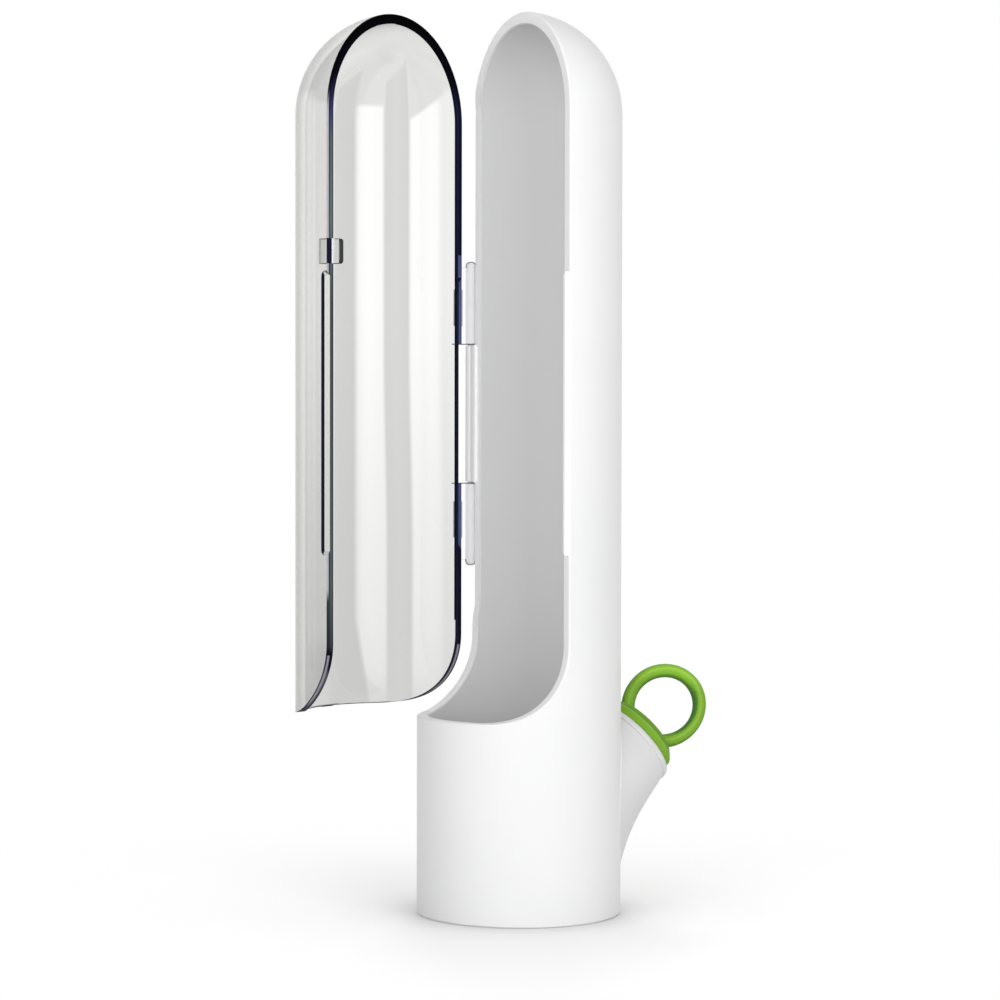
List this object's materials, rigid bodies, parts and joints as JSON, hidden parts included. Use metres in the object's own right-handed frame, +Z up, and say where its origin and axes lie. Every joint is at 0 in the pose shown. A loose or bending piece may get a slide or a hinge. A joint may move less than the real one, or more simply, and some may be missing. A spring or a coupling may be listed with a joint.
{
  "type": "vegetable keeper",
  "caption": "Tall round domed vegetable keeper with a hinged clear half-tube door, a water cup at its foot and a slanted filling spout with a soft ring-pull plug.",
  "frame": {"origin": "centre of the round face that the keeper stands on", "axes": "+Z up along the keeper's round body, -Y out of the open front, +Y towards the filling spout, -X towards the door's hinge"},
  "size_m": [0.0865, 0.1304, 0.2816],
  "materials": {
    "white_plastic": "smooth moulded white plastic, soft gloss",
    "rod_plastic": "smooth white plastic rod",
    "clear_plastic": "clear moulded plastic, polished, dark at its cut edges",
    "plug_rubber": "soft green silicone rubber, slightly translucent, satin",
    "seal_rubber": "soft pale silicone rubber, matte"
  },
  "bodies": {
    "housing": {"body_shell": "white_plastic", "base_plate": "white_plastic", "base_seal": "seal_rubber", "hinge_rod": "rod_plastic"},
    "door": {"door_shell": "clear_plastic", "hinge_clip_upper": "clear_plastic", "hinge_clip_lower": "clear_plastic", "latch_tongue": "clear_plastic"},
    "plug": {"fill_plug": "plug_rubber"}
  },
  "joints": [
    {"name": "door_hinge", "type": "hinge", "parent": "housing", "child": "door", "pos_m": [-0.0348, 0.001, 0.15], "axis": [0, 0, 1], "range_deg": [-62.3, 67.7]},
    {"name": "plug_pull", "type": "slide", "parent": "housing", "child": "plug", "axis": [0, 0.7638, 0.6455], "range_m": [0, 0.015]}
  ]
}
